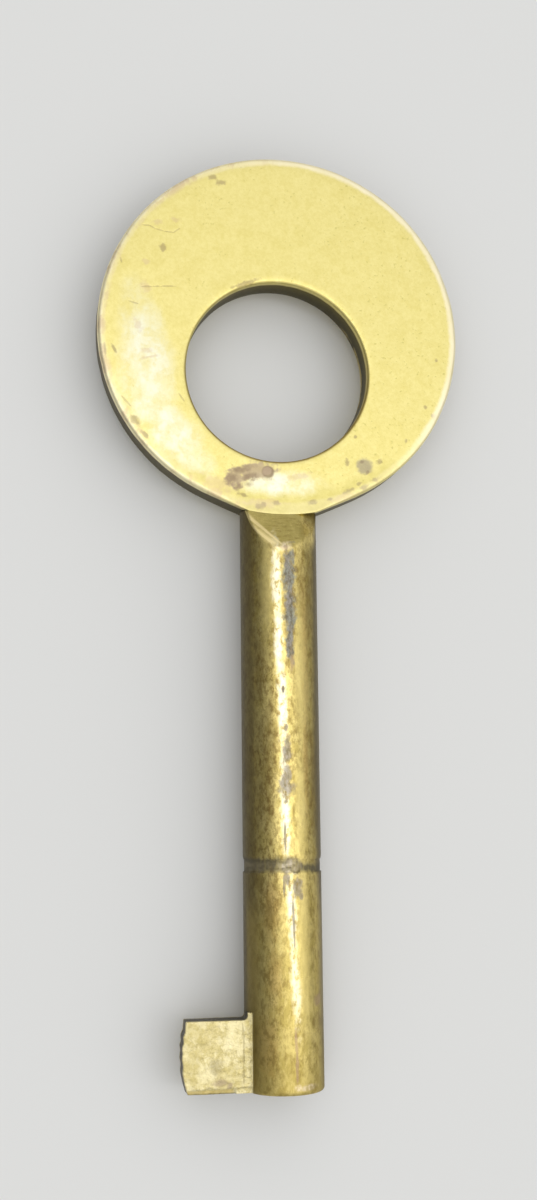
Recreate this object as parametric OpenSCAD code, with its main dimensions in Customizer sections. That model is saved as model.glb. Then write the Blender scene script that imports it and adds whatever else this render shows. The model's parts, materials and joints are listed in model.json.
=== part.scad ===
// Brass pipe key lying flat. The stem runs along Y with the bow at the far end and the bit towards -X.
// The origin is the centre of the barrel's mouth, on the axis of its bore. Lengths are in millimetres.

/* [Bow] */
// Diameter of the round bow
bow_d = 33.8; // [30:0.1:40]
// How far the bow's centre lies off the stem's axis, on the side away from the bit
bow_side = 0.2; // [0:0.05:0.5]
// Thickness of the plate that the bow is cut from
bow_t = 3.2; // [2.6:0.1:4]
// Radius worn onto the outer edges of the bow and its neck
bow_edge_r = 0.4; // [0.2:0.05:0.7]
// Diameter of the hole through the bow
hole_d = 17; // [12:0.1:19]
// How far the hole's centre lies from the bow's centre, towards the stem
hole_drop = 3.85; // [0:0.05:4.5]
// How far the hole's centre lies from the bow's centre, towards the side of the bit
hole_side = 0.3; // [0:0.05:0.5]
// Radius worn onto the edges of the hole
hole_edge_r = 0.3; // [0.1:0.05:0.6]
// Width of the neck that meets the stem
neck_w = 6.2; // [5.5:0.1:7]
// How far the neck's round end stands out past the round of the bow
neck_out = 0.4; // [0.2:0.1:3]
// Angle round the bow, from the middle of its neck, at which its rim turns off towards the neck
shoulder_at = 19; // [16:1:24]

/* [Tenon of the bow] */
// Width of the tenon
tenon_w = 4; // [3:0.1:4.6]
// Thickness of the tenon
tenon_t = 2; // [1.2:0.1:2.2]
// Length of the tenon inside the stem
tenon_len = 5.5; // [3:0.1:9]

/* [Stem] */
// Diameter of the stem and of the barrel
stem_d = 7; // [6.6:0.1:8]
// Length of the stem, from the solder ring to the middle of the bow's neck
stem_len = 30.95; // [20:0.05:50]
// Length of the two filed facets that thin the stem down to the bow's plate
facet_len = 3.1; // [2:0.05:6]
// Diameter of the spigot at the stem's lower end
spigot_d = 4.4; // [4.2:0.1:4.8]
// Length of the spigot inside the barrel
spigot_len = 4.3; // [2:0.1:8]

/* [Solder ring] */
// Width of the ring of solder between stem and barrel
ring_w = 1.1; // [0.5:0.1:2]
// How far the solder lies below the surface of the stem
ring_sink = 0.05; // [0:0.01:0.2]

/* [Barrel] */
// Length of the barrel, from its mouth to the solder ring
barrel_len = 18.8; // [14:0.1:30]
// Diameter of the bore that takes the lock's drill pin
bore_d = 3.8; // [3:0.1:4]
// Radius worn onto the outer edge of the mouth
mouth_r = 0.3; // [0.1:0.05:0.6]
// Distance from the axis to the flat filed on the barrel's side at the bit
flat_x = 2.98; // [2.85:0.01:3.1]
// Depth of the slot below that flat, which holds the bit's foot
slot_depth = 0.5; // [0.3:0.05:0.6]

/* [Bit] */
// Height of the blade along the barrel
bit_h = 6.2; // [4:0.1:9]
// Distance from the axis to the blade's outer edge
bit_reach = 9.15; // [6:0.05:12]
// Thickness of the blade and its foot
bit_t = 2.4; // [1.6:0.1:3]
// How far the foot stands out past the blade, towards the bow
foot_over = 0.65; // [0.3:0.05:2]
// Distance from the axis to the outer side of the foot
foot_x = 3.4; // [3.2:0.05:4]
// Radius of the fillet between the foot and the blade
foot_fillet_r = 0.3; // [0.1:0.05:0.3]
// How far the blade's outer edge bulges between its corners
bit_bulge = 0.4; // [0.1:0.05:0.8]
// Bevel worn onto the corners of the blade's outer edge
bit_bevel = 0.2; // [0.05:0.05:0.5]

/* [Fits] */
// Gap left round the spigot and the tenon for the solder
solder_gap = 0.03; // [0.01:0.01:0.06]
// Room left past the ends of the spigot and the tenon
end_gap = 0.2; // [0.1:0.1:1]

/* [Hidden] */
round_fn = 96;
edge_fn = 32;
// How far a cutting shape stands out past the solid that it cuts
over = 1;

ring_y = barrel_len;
socket_y = ring_y - spigot_len - end_gap;
socket_d = spigot_d + 2 * solder_gap;
stem_y = ring_y + ring_w;
neck_y = stem_y + stem_len;
// Radius of the neck's end and of the hollow in the stem that it seats in
neck_r = bow_d / 2 + neck_out;
bow_y = neck_y + neck_r;
hole_y = bow_y - hole_drop;
// The corners of the neck, and the sides of the stem's hollow end
corner_y = bow_y - sqrt(pow(neck_r, 2) - pow(neck_w / 2, 2));
stem_end_y = bow_y - sqrt(pow(neck_r, 2) - pow(stem_d / 2 + bow_side, 2));
// Where the neck is wide inside the flat of the bow's face
neck_root_y = bow_y - sqrt(pow(bow_d / 2 - bow_edge_r, 2) - pow(neck_w / 2, 2));
// The straight shoulders run from the neck's corners to these places on the bow's rim, and on inside it
shoulder_x = bow_d / 2 * sin(shoulder_at) - neck_w / 2;
shoulder_y = bow_y - corner_y - bow_d / 2 * cos(shoulder_at);
shoulder_len = sqrt(pow(shoulder_x, 2) + pow(shoulder_y, 2)) + 1;
shoulder_w = 3;
foot_h = bit_h + foot_over;
slot_x = flat_x - slot_depth;
// Radius of the arc through the blade's outer corners and its bulge
bulge_r = (pow(bit_h / 2, 2) + pow(bit_bulge, 2)) / (2 * bit_bulge);

// Turns a shape that was drawn along Z so that it runs along +Y from y
module along_y(y) {
    translate([0, y, 0]) rotate([-90, 0, 0]) children();
}

// Disc with both rims rounded
module rounded_disc(d, t, edge_r) {
    rotate_extrude($fn = round_fn) {
        translate([0, -t / 2]) square([d / 2 - edge_r, t]);
        translate([0, edge_r - t / 2]) square([d / 2, t - 2 * edge_r]);
        for (side = [-1, 1])
            translate([d / 2 - edge_r, side * (t / 2 - edge_r)]) circle(edge_r, $fn = edge_fn);
    }
}

// Cutter for a hole whose rims are rounded over at both faces of the plate
module rounded_hole(d, t, edge_r) {
    rotate_extrude($fn = round_fn) {
        translate([0, -t / 2 - over]) square([d / 2, t + 2 * over]);
        difference() {
            translate([0, -t / 2 - over]) square([d / 2 + edge_r, t + 2 * over]);
            translate([d / 2, edge_r - t / 2]) square([2 * edge_r, t - 2 * edge_r]);
            for (side = [-1, 1])
                translate([d / 2 + edge_r, side * (t / 2 - edge_r)]) circle(edge_r, $fn = edge_fn);
        }
    }
}

// Rectangle, centred, with its four corners rounded
module rounded_bar(w, t, edge_r) {
    square([w - 2 * edge_r, t], center = true);
    square([w, t - 2 * edge_r], center = true);
    for (x = [-1, 1], y = [-1, 1])
        translate([x * (w / 2 - edge_r), y * (t / 2 - edge_r)]) circle(edge_r, $fn = edge_fn);
}

// Bar of the tenon's section, grown by gap on each side, from y to the neck and past it by extra
module tenon_bar(y, gap, extra) {
    translate([-tenon_w / 2 - gap, y, -tenon_t / 2 - gap])
        cube([tenon_w + 2 * gap, neck_y + extra - y, tenon_t + 2 * gap]);
}

// Moves what belongs to the bow from the stem's axis to the bow's own
module to_bow_axis() {
    translate([bow_side, 0, 0]) children();
}

// Round block about the bow's centre, the shape of the neck's end and of the hollow in the stem
module neck_round() {
    translate([0, bow_y, 0]) cylinder(h = stem_d + 2 * over, r = neck_r, center = true, $fn = round_fn);
}

// Shoulder that leads the bow's rim in a straight line to the neck's corner, on the side of +X
module shoulder() {
    translate([neck_w / 2, corner_y, 0]) rotate([0, 0, atan2(shoulder_y, shoulder_x)])
        translate([0, shoulder_w / 2, 0]) rotate([90, 0, 90])
            linear_extrude(shoulder_len) rounded_bar(shoulder_w, bow_t, bow_edge_r);
}

module bow() {
    color("#d9c66f")
    to_bow_axis() difference() {
        union() {
            translate([0, bow_y, 0]) rounded_disc(bow_d, bow_t, bow_edge_r);
            shoulder();
            mirror([1, 0, 0]) shoulder();
            intersection() {
                along_y(neck_y) linear_extrude(neck_root_y - neck_y) rounded_bar(neck_w, bow_t, bow_edge_r);
                neck_round();
            }
            tenon_bar(neck_y - tenon_len, 0, neck_out);
        }
        translate([-hole_side, hole_y, 0]) rounded_hole(hole_d, bow_t, hole_edge_r);
    }
}

// Wedge filed off one side: its face runs from the stem's top down to the bow's face at the neck
module facet_wedge() {
    rise = stem_d / 2 - bow_t / 2;
    slope = rise / facet_len;
    rotate([90, 0, 90]) linear_extrude(stem_d + 2 * over, center = true)
        polygon([
            [neck_y - facet_len - over, stem_d / 2 + slope * over],
            [neck_y + over, bow_t / 2 - slope * over],
            [neck_y + over, stem_d / 2 + over]
        ]);
}

module stem() {
    color("#b09a45")
    difference() {
        union() {
            along_y(stem_y) cylinder(h = stem_end_y - stem_y, d = stem_d, $fn = round_fn);
            along_y(ring_y - spigot_len)
                cylinder(h = spigot_len + ring_w, d = spigot_d, $fn = round_fn);
        }
        facet_wedge();
        mirror([0, 0, 1]) facet_wedge();
        to_bow_axis() neck_round();
        to_bow_axis() tenon_bar(neck_y - tenon_len - end_gap, solder_gap, over);
    }
}

module solder_ring() {
    color("#5b5a4e")
    along_y(ring_y) difference() {
        cylinder(h = ring_w, r = stem_d / 2 - ring_sink, $fn = round_fn);
        translate([0, 0, -over]) cylinder(h = ring_w + 2 * over, d = socket_d, $fn = round_fn);
    }
}

module barrel() {
    wall = (stem_d - bore_d) / 2;
    color("#b09a45")
    difference() {
        along_y(0) rotate_extrude($fn = round_fn) {
            translate([bore_d / 2, 0]) square([wall - mouth_r, barrel_len]);
            translate([bore_d / 2, mouth_r]) square([wall, barrel_len - mouth_r]);
            translate([stem_d / 2 - mouth_r, mouth_r]) circle(mouth_r, $fn = edge_fn);
        }
        // The socket for the spigot, wider than the bore, so that the bore ends at a shoulder
        along_y(socket_y) cylinder(h = barrel_len, d = socket_d, $fn = round_fn);
        // The flat, and in it the slot for the bit's foot, both open at the mouth
        translate([-flat_x - stem_d, -over, -stem_d])
            cube([stem_d, foot_h + over, 2 * stem_d]);
        translate([-flat_x - over, -over, -bit_t / 2])
            cube([slot_depth + over, foot_h + over, bit_t]);
    }
}

// The bit seen from above: a foot along the barrel and the blade standing out from it
module bit_outline() {
    translate([-foot_x, 0]) square([foot_x - slot_x, foot_h]);
    intersection() {
        translate([-bit_reach, 0]) square([bit_reach - slot_x, bit_h]);
        translate([bulge_r - bit_reach, bit_h / 2]) circle(bulge_r, $fn = round_fn);
    }
    difference() {
        translate([-foot_x - foot_fillet_r, bit_h]) square(foot_fillet_r);
        translate([-foot_x - foot_fillet_r, bit_h + foot_fillet_r]) circle(foot_fillet_r, $fn = edge_fn);
    }
}

// The bit seen from its end: flat faces, and bevels at the outer edge
module bit_section() {
    polygon([
        [-slot_x, bit_t / 2],
        [-slot_x, -bit_t / 2],
        [bit_bevel - bit_reach, -bit_t / 2],
        [-bit_reach, bit_bevel - bit_t / 2],
        [-bit_reach, bit_t / 2 - bit_bevel],
        [bit_bevel - bit_reach, bit_t / 2]
    ]);
}

module bit() {
    color("#e3d595")
    intersection() {
        linear_extrude(bit_t, center = true) bit_outline();
        along_y(0) linear_extrude(foot_h) bit_section();
    }
}

bow();
stem();
solder_ring();
barrel();
bit();
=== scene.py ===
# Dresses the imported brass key: each solid gets a worn, finely shaped skin and its own metal finish.
# Shapes are worked out in millimetres and turned to metres when a piece is made.
import bmesh
import bpy
import json
import math
from mathutils import Matrix, Vector, noise


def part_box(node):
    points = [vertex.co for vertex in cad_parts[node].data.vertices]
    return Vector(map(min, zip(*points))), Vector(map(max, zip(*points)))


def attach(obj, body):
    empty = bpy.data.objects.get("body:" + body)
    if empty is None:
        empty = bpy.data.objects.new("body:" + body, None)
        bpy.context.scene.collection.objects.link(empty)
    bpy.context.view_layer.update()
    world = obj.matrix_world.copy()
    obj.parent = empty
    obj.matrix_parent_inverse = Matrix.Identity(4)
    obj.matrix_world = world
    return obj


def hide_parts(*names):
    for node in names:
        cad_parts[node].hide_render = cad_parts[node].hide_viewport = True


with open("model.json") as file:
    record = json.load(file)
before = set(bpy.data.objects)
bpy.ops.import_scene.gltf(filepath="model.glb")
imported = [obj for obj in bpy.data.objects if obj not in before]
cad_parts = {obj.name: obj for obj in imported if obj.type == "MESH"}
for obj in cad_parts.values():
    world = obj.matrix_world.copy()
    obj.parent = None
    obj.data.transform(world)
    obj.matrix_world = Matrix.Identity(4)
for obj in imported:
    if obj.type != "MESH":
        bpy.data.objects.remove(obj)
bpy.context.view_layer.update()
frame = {"nodes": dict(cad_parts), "record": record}
print("frame loaded:", ", ".join(sorted(frame["nodes"])))

toMetres = 0.001
mounts = {mount["name"]: mount for mount in frame["record"]["mounts"]}


def boxOf(node):  # a CAD node's lowest and highest corner in millimetres
    return [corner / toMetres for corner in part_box(node)]


bowLow, bowHigh = boxOf("bow")
bowRadius = (bowHigh.x - bowLow.x) / 2
bowX = (bowHigh.x + bowLow.x) / 2
bowY = bowHigh.y - bowRadius
neckOut = 0.4            # how far the neck stands out past the round of the bow
neckRadius = bowRadius + neckOut
neckY = bowY - neckRadius
holeAt = Vector(mounts["ring_hole"]["pos_m"][:2]) / toMetres
holeRadius = mounts["ring_hole"]["dims"]["r_mm"]
stemRadius = boxOf("stem")[1].z
facetLength = 3.1        # the filed run on the stem, down to the bow's plate
facetSlope = (stemRadius - bowHigh.z) / facetLength
leftFacet = (0.31, -0.095, 0.106)  # against the main facet: height at the neck, rise, tilt across


def seamRise(x):  # how far the joint between bow and stem, an arc about the bow's centre, lies past neckY
    return neckRadius - math.sqrt(neckRadius ** 2 - (x - bowX) ** 2)


# Shader maths

softEdge = 0.22          # how far a mark fades at its edge, as a share of its size
noiseMiddle = 0.5


class Wire:  # a socket that sums can be written with; each sum on values adds its Math node
    def __init__(self, graph, socket):
        self.graph = graph
        self.socket = socket

    def math(self, operation, first, second=0.0, clamp=False):
        return self.graph.node("Math", {"operation": operation, "use_clamp": clamp}, {0: first, 1: second})

    def __add__(self, other):
        return self.math("ADD", self, other)

    def __radd__(self, other):
        return self.math("ADD", other, self)

    def __sub__(self, other):
        return self.math("SUBTRACT", self, other)

    def __rsub__(self, other):
        return self.math("SUBTRACT", other, self)

    def __mul__(self, other):
        return self.math("MULTIPLY", self, other)

    def __rmul__(self, other):
        return self.math("MULTIPLY", other, self)

    def limit(self):  # kept between 0 and 1
        return self.math("ADD", self, 0.0, clamp=True)

    def orMore(self, other):
        return self.math("MAXIMUM", self, other)

    def swing(self, reach):  # noise moved to lie about 0, from -reach / 2 to reach / 2
        return (self - noiseMiddle) * reach

    def rise(self, low, high):  # smoothly from 0 at low to 1 at high; low may be the larger
        settings = {"interpolation_type": "SMOOTHSTEP"}
        return self.graph.node("MapRange", settings, {"Value": self, "From Min": low, "From Max": high})


class Graph:  # the nodes of one material, or of the world
    def __init__(self, tree):
        self.tree = tree
        self.tree.nodes.clear()

    def node(self, kind, settings=None, inputs=None, output=0):
        made = self.tree.nodes.new("ShaderNode" + kind)
        for name, value in (settings or {}).items():
            setattr(made, name, value)
        for key, value in (inputs or {}).items():
            if isinstance(value, Wire):
                self.tree.links.new(value.socket, made.inputs[key])
            else:
                made.inputs[key].default_value = value
        return Wire(self, made.outputs[output]) if len(made.outputs) else None

    def vector(self, operation, first, second=(0, 0, 0), output="Vector"):
        return self.node("VectorMath", {"operation": operation}, {0: first, 1: second}, output)

    def place(self, stretch=(1, 1, 1)):  # the point on the key in millimetres, each axis times its stretch
        point = self.node("TexCoord", output="Object")
        return self.vector("MULTIPLY", point, [part / toMetres for part in stretch])

    def axis(self, letter):  # one coordinate of the point on the key, in millimetres
        return self.node("SeparateXYZ", {}, {0: self.place()}, output=letter)

    def lumps(self, size, stretch=(1, 1, 1), detail=2.0, rough=0.5, shift=0.0):  # noise from 0 to 1
        moved = self.vector("ADD", self.place(stretch), (shift, shift, shift))
        inputs = {"Vector": moved, "Scale": 1 / size, "Detail": detail, "Roughness": rough}
        return self.node("TexNoise", {}, inputs)

    def away(self, x, y):  # millimetres from a point of the plan
        flat = self.vector("MULTIPLY", self.vector("SUBTRACT", self.place(), (x, y, 0)), (1, 1, 0))
        return self.vector("LENGTH", flat, output="Value")

    def spot(self, wobble, x, y, halfLength, halfWidth, tilt=0.0, soft=softEdge):  # a ragged oval
        turn = {"Vector": self.place(), "Center": (x, y, 0), "Angle": -tilt}
        turned = self.node("VectorRotate", {"rotation_type": "Z_AXIS"}, turn)
        shift = self.vector("SUBTRACT", turned, (x, y, 0))
        scaled = self.vector("MULTIPLY", shift, (1 / halfLength, 1 / halfWidth, 0))
        return (self.vector("LENGTH", scaled, output="Value") + wobble).rise(1 + soft, 1 - soft)

    def spots(self, wobble, places, soft=softEdge):  # ovals: x, y, half sizes and perhaps a tilt
        masks = [self.spot(wobble, *place, soft=soft) for place in places]
        for mask in masks[1:]:
            masks[0] = masks[0].orMore(mask)
        return masks[0]

    def lines(self, wobble, width, marks, soft=softEdge):  # thin marks, each through its points
        places = []
        for points in marks:
            for (x, y), (endX, endY) in zip(points, points[1:]):
                half = math.hypot(endX - x, endY - y) / 2 + width
                tilt = math.atan2(endY - y, endX - x)
                places.append(((x + endX) / 2, (y + endY) / 2, half, width, tilt))
        return self.spots(wobble, places, soft)

    def patches(self, look, wobble, front):  # masks by name, each as ragged and soft as the look says
        masks = {}
        for name, (ragged, soft) in look["patches"].items():
            masks[name] = self.spots(wobble * ragged, look[name], soft) * front
        return masks

    def tones(self, look, wires):  # adds the look's tones: wires that rise with another between two values
        for name, (source, low, high) in look["tones"].items():
            wires[name] = wires[source].rise(low, high)

    def total(self, weights, wires):  # wires by name, each times its weight, on top of the plain part
        result = weights.get("plain", 0.0)
        for name, weight in weights.items():
            if name != "plain":
                result = wires[name] * weight + result
        return result

    def mix(self, mask, under, over):  # colours: over where the mask is 1
        return self.node("Mix", {"data_type": "RGBA"}, {0: mask, 6: under, 7: over}, output=2)

    def coats(self, base, look, wires):  # colours laid on in turn, each by its mask and the mask's share
        for name, mask, share in look["coats"]:
            strength = self.node("Clamp", {}, {"Value": self.total(share, wires)})
            base = self.mix(wires[mask] * strength, base, look[name])
        return base


def colour(red, green, blue):  # a colour as a picture program shows it, 0 to 255, made linear
    parts = [part / 255 for part in (red, green, blue)]
    return [part / 12.92 if part <= 0.04045 else ((part + 0.055) / 1.055) ** 2.4 for part in parts] + [1.0]


def newFinish(name, slot):
    material = bpy.data.materials.new(name)
    material.use_nodes = True
    material["slot"] = slot
    return material, Graph(material.node_tree)


def shade(graph, base, look, wires):  # the metal; its roughness, metallic part and relief weigh wires
    bump = {"Height": graph.total(look["relief"], wires), "Distance": look["reliefDepth"] * toMetres}
    inputs = {"Base Color": base, "Normal": graph.node("Bump", {}, bump)}
    inputs["Metallic"] = graph.total(look["metallic"], wires)
    inputs["Roughness"] = graph.total(look["roughness"], wires)
    surface = graph.node("BsdfPrincipled", {}, inputs)
    graph.node("OutputMaterial", {}, {"Surface": surface})


bowFinish = {
    "light": colour(237, 224, 150),
    "deep": colour(220, 205, 121),
    # painted highlight colour: the whitish sheen on the lower left limb and the foot
    "pale": colour(236, 235, 212),
    "olive": colour(196, 184, 104),
    # painted shade: the dark colour of the side walls, which lie in shade
    "wall": colour(70, 62, 32),
    # painted shade: the hole's wall, darker still deeper in
    "holeWall": colour(86, 77, 30),
    "holeShade": colour(56, 50, 22),
    # painted highlight low on the hole's right wall
    "holeEdge": colour(214, 192, 128),
    "stain": colour(188, 166, 138),
    "dark": colour(140, 118, 94),
    "rose": colour(206, 178, 148),
    "grey": colour(184, 172, 136),
    # painted highlight colour along the rounded rim, a little worn brass as well
    "rim": colour(252, 242, 208),
    "holeRim": colour(158, 132, 66),
    # where the face is painted pale: a painted highlight on the lower left limb and the foot, partly worn
    # brass
    "paleAreas": [
        (-12.3, 65.3, 1.7, 5.2, 0.2),
        (-9.9, 58.2, 5.2, 1.5, -0.85),
        (0.2, 53.7, 3.4, 1.0),
    ],
    "stains": [(-2.4, 54.85, 1.9, 0.8, 0.12), (-4.1, 54.2, 0.9, 0.9, 0.7)],
    "stainShades": [
        (-4.5, 54.05, 0.55, 0.42, 0.8),
        (-3.5, 54.95, 0.9, 0.28, 0.3),
        (-2.85, 54.3, 0.6, 0.3, 0.1),
        (-3.95, 53.3, 0.28, 0.42, -0.3),
        (-2.97, 53.6, 0.34, 0.18),
    ],
    "smears": [
        (-5.6, 53.6, 1.5, 0.5, -0.35),
        (-1.6, 51.9, 1.6, 0.35),
        (1.6, 54.4, 1.2, 0.25, 0.2),
        (5.9, 52.6, 1.3, 0.3, 0.35),
        (-9.5, 78.4, 0.4, 0.25),
        (-11.3, 78.1, 0.4, 0.25),
        (-12.25, 74.23, 0.3, 0.25),
        (-12.3, 71.8, 0.45, 0.5),
        (-13.0, 68.2, 0.3, 0.6, 0.4),
        (-12.2, 65.8, 0.5, 0.2),
        (-12.0, 65.2, 0.7, 0.12, 0.2),
    ],
    "blister": [(-1.12, 54.78, 0.56, 0.56)],
    "blisterTop": [(-1.2, 54.86, 0.4, 0.4)],
    "roundSpot": [(7.94, 55.56, 0.74, 0.72)],
    "spots": [
        (6.27, 55.91, 0.22, 0.28),
        (9.38, 56.0, 0.26, 0.22),
        (7.13, 58.34, 0.15, 0.15),
        (11.95, 58.08, 0.14, 0.17),
        (14.61, 60.56, 0.22, 0.2),
        (13.9, 61.39, 0.17, 0.17),
        (7.7, 55.95, 0.18, 0.15),
        (8.2, 55.0, 0.16, 0.2),
        (7.9, 53.59, 0.36, 0.22, 0.4),
        (2.97, 52.04, 0.36, 0.22, 0.2),
        (-1.79, 51.65, 0.45, 0.28),
        (-6.1, 82.8, 0.35, 0.25),
        (-5.3, 82.3, 0.4, 0.25),
        (15.1, 65.9, 0.18, 0.14),
        (8.9, 54.3, 0.4, 0.2, 0.3),
        (6.4, 53.2, 0.5, 0.2, 0.3),
        (-0.4, 51.9, 0.3, 0.2),
        (-3.4, 52.6, 0.5, 0.16, -0.3),
        (4.6, 52.4, 0.3, 0.12, 0.3),
        (7.4, 53.9, 0.25, 0.14, 0.4),
        (-10.71, 75.66, 0.28, 0.36, 0.5),
        (-16.0, 65.8, 0.1, 0.5, 0.1),
        (-15.2, 65.9, 0.12, 0.4, 0.5),
        (-13.3, 59.25, 0.55, 0.3, -0.9),
        (-12.4, 58.0, 0.5, 0.18, -0.8),
        (-3.1, 72.6, 1.2, 0.2, 0.35),
    ],
    "scratches": [
        [(-12.6, 77.79), (-11.91, 77.75), (-11.41, 77.47), (-10.61, 77.27), (-9.71, 77.19), (-9.21, 77.56)],
        [(-12.6, 71.85), (-11.71, 71.92), (-11.02, 71.95), (-9.43, 72.04)],
        [(-13.88, 70.45), (-13.04, 70.19)],
        [(-14.62, 74.52), (-14.5, 74.1)],
        [(-14.5, 61.5), (-13.6, 60.5)],
        [(-9.35, 62.0), (-8.8, 61.2)],
    ],
    "patches": {                   # how ragged and how soft the marks above are
        "stains": (1.0, 0.3),
        "stainShades": (1.3, 0.8),
        "smears": (1.4, 0.5),
        "blister": (0.0, softEdge),
        "blisterTop": (0.4, softEdge),
        "roundSpot": (0.35, 0.3),
        "spots": (1.3, 0.5),
    },
    "scratchWidth": 0.08,
    "tones": {                     # wires by name: what each rises with, where it is 0 and where 1
        "front": ("height", 0.9, 1.3),
        "cloudTone": ("cloud", 0.35, 0.7),
        "grainTone": ("grain", 0.3, 0.7),
        "wispTone": ("wisps", 0.75, 0.35),
        "patchTone": ("cloud", 0.6, 0.42),
        "freckleTone": ("freckle", 0.61, 0.75),
        "atFoot": ("along", 58, 54),
        "toRight": ("across", -9, 4),
        "upBow": ("along", 54, 62),
        "below": ("along", holeAt.y + 4, holeAt.y - 5),
        "onLimb": ("across", -2, -9),
        "toLeft": ("across", 2.0, -6.0),
        "thinWisps": ("wisps", 0.48, 0.62),
        "rightWall": ("across", 6.0, 8.0),
        "thickWisps": ("wisps", 0.35, 0.55),
    },
    "wallHeight": (1.15, 0.8),
    "overBack": (0.02, 0.14),      # the side walls end this far over the back
    "holeDepth": (0.9, -0.6),      # heights between which the hole's wall darkens deeper in, a painted shade, and is painted lighter at its lower edge on the right, a painted highlight
    "rubbedHeight": (-0.7, -0.95),  # and is rubbed bright at its lower edge
    "rimBand": (0.9, 0.5),         # these six are distances from the rim or from the hole's edge
    "leftRimBand": (0.5, 0.25),
    "wornRimBand": (1.1, 0.4),
    "footBand": (1.6, 0.2),
    "holeRimBand": (0.3, 0.12),
    "holeBand": (0.45, 0.2),
    "freckledArea": (0.4, 0.62),
    "frecklePull": 0.012,          # how many more freckles each millimetre to the right has
    # the painted rim highlight: stronger to the right, where the light comes from, broken up by wisps
    "rimRight": {"plain": 0.35, "toRight": 0.6},
    "rimWear": {"plain": 1.25, "wisps": -0.8},
    "coats": [                     # in order: colour, mask, and the mask's share
        ("deep", "all", {"cloudTone": 0.3, "grainTone": 0.45}),
        ("pale", "paleness", {"plain": 0.2, "wispTone": 0.45, "patchTone": 0.35}),
        ("olive", "freckles", {"plain": 0.65}),
        # painted shade: darker olive at the foot
        ("olive", "foot", {"plain": 0.2, "cloud": 0.6}),
        ("rose", "smears", {"plain": 0.35}),
        ("stain", "stains", {"plain": 0.5, "wisps": 0.6}),
        ("dark", "stainShades", {"plain": 0.4, "grain": 0.4}),
        ("dark", "blister", {"plain": 0.75}),
        ("stain", "blisterTop", {"plain": 0.8}),
        ("grey", "roundSpot", {"plain": 0.7, "grain": 0.5}),
        ("dark", "spots", {"plain": 0.5}),
        ("dark", "scratches", {"plain": 0.1, "grain": 0.4}),
        ("rim", "rimLight", {"plain": 0.25, "upBow": 0.75}),
        ("rim", "leftRim", {"plain": 0.9, "wisps": -0.6}),
        ("rose", "wornRim", {"plain": 0.5}),
        ("holeRim", "holeRim", {"below": 0.6, "wisps": 0.4}),
    ],
    "spotMark": 0.5,               # how far a spot counts as a mark in the gloss and relief
    "rubbedShare": 0.7,
    "wallShare": 0.95,
    "roughness": {"plain": 0.3, "grain": 0.16, "marks": 0.14, "wall": 0.12},
    "metallic": {"plain": 1.0, "marks": -0.3, "wall": -0.05},
    "relief": {
        "grain": 0.9,
        "cloud": 0.8,
        "marks": -0.5,
        "freckles": -0.5,
        "scratches": -0.9,
        "blisterTop": 1.2,
    },
    "reliefDepth": 0.01,
}


def makeBowFinish(look):
    material, graph = newFinish("bowBrass", "bow_brass")
    across, along, height = [graph.axis(letter) for letter in "XYZ"]
    cloud = graph.lumps(size=1.1, detail=4, rough=0.6)
    wobble = graph.lumps(size=0.45, detail=3, shift=15).swing(1.8)
    drift = graph.lumps(size=5.0, detail=3, shift=8)
    wisps = graph.lumps(size=1.6, stretch=(1, 0.6, 1), detail=4, rough=0.65, shift=26)
    wires = {"all": 1.0, "height": height, "across": across, "along": along, "cloud": cloud, "wisps": wisps}
    wires["grain"] = graph.lumps(size=0.3, detail=4, rough=0.7, shift=40)
    wires["freckle"] = graph.lumps(size=0.32, detail=2, shift=90)
    graph.tones(look, wires)
    front = wires["front"]

    fromRim = bowRadius - graph.away(bowX, bowY) - cloud.swing(0.5)
    fromHole = graph.away(*holeAt) - holeRadius
    # painted highlight: the pale sheen, partly real wear, broken up by drift and wisps
    wires["paleness"] = graph.spots(drift.swing(1.3) + wisps.swing(0.8), look["paleAreas"], soft=0.65)
    freckled = across * look["frecklePull"] + graph.lumps(size=2.5, shift=20)
    wires["freckles"] = wires["freckleTone"] * freckled.rise(*look["freckledArea"])
    # a darker olive band along the rim at the foot: painted shade that tones down the reflection there
    wires["foot"] = (fromRim - wisps).rise(*look["footBand"]) * wires["atFoot"] * front
    wires.update(graph.patches(look, wobble, front))
    wires["scratches"] = graph.lines(wobble * 0.8, look["scratchWidth"], look["scratches"]) * front
    # painted highlight on the rounded rim, stronger to the right and up the bow, and a thin one at the left
    # limb's very edge
    rimLight = graph.total(look["rimRight"], wires) * graph.total(look["rimWear"], wires).limit()
    wires["rimLight"] = fromRim.rise(*look["rimBand"]) * rimLight
    wires["leftRim"] = fromRim.rise(*look["leftRimBand"]) * wires["onLimb"]
    wires["wornRim"] = fromRim.rise(*look["wornRimBand"]) * wires["thinWisps"] * wires["toLeft"]
    wires["holeRim"] = (fromHole + cloud.swing(0.15)).rise(*look["holeRimBand"])
    base = graph.coats(look["light"], look, wires)

    # the side walls are painted dark, a painted shade
    wall = (height + cloud.swing(0.25)).rise(*look["wallHeight"])
    wall = wall * (height + bowHigh.z).rise(*look["overBack"])
    # the hole's wall: painted shade deeper in, and a painted highlight low on its right side
    holeDepth = (height + cloud.swing(1.0)).rise(*look["holeDepth"])
    holeColour = graph.mix(holeDepth, look["holeWall"], look["holeShade"])
    rubbed = (height + cloud.swing(0.6)).rise(*look["rubbedHeight"]) * wires["rightWall"]
    rubbed = rubbed * wires["thickWisps"] * look["rubbedShare"]
    holeColour = graph.mix(rubbed, holeColour, look["holeEdge"])
    wallColour = graph.mix(fromHole.rise(*look["holeBand"]), look["wall"], holeColour)
    base = graph.mix(wall * look["wallShare"], base, wallColour)
    marks = wires["stains"].orMore(wires["blister"]).orMore(wires["roundSpot"])
    wires.update({"wall": wall, "marks": marks.orMore(wires["spots"] * look["spotMark"])})
    shade(graph, base, look, wires)
    return material


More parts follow.
